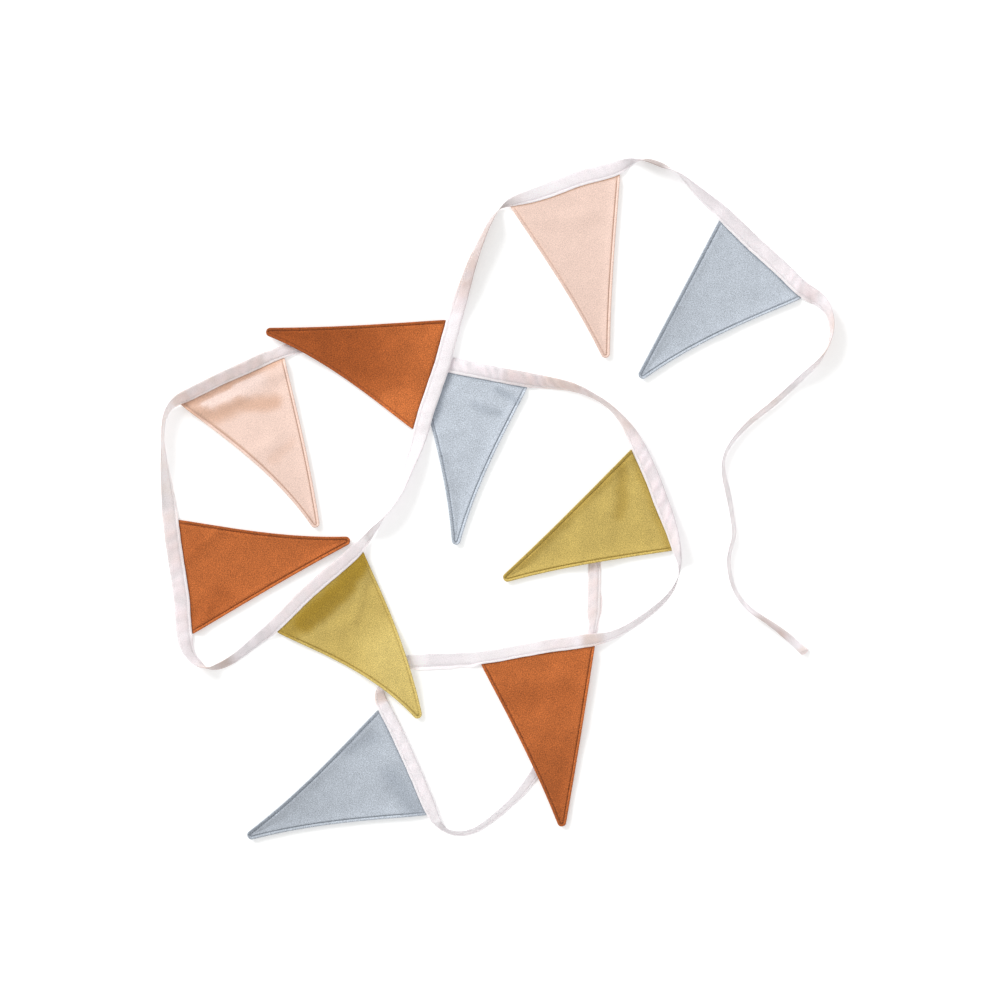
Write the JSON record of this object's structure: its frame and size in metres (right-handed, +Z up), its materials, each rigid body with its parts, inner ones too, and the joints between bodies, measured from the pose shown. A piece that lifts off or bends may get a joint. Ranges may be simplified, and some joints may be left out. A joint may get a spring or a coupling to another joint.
{
  "type": "fabric bunting",
  "caption": "Fabric bunting lying flat in loose curves: triangular cotton pennants in muted colours sewn into one pale folded tape with two free ends.",
  "frame": {"origin": "middle of the bunting's outline at the floor", "axes": "+Z up from the floor, +X to the right and +Y away as it is seen from above in the picture"},
  "size_m": [0.64, 0.6472, 0.0166],
  "materials": {
    "cotton_tape": "matt, fine weave",
    "cotton_blush": "matt canvas",
    "cotton_blue": "matt canvas",
    "cotton_rust": "matt canvas",
    "cotton_mustard": "matt canvas"
  },
  "bodies": {
    "root": {"tape": "cotton_tape", "pennant_01": "cotton_blue", "pennant_02": "cotton_blush", "pennant_03": "cotton_rust", "pennant_04": "cotton_mustard", "pennant_05": "cotton_rust", "pennant_06": "cotton_blush", "pennant_07": "cotton_blue", "pennant_08": "cotton_mustard", "pennant_09": "cotton_rust", "pennant_10": "cotton_blue"}
  },
  "joints": []
}
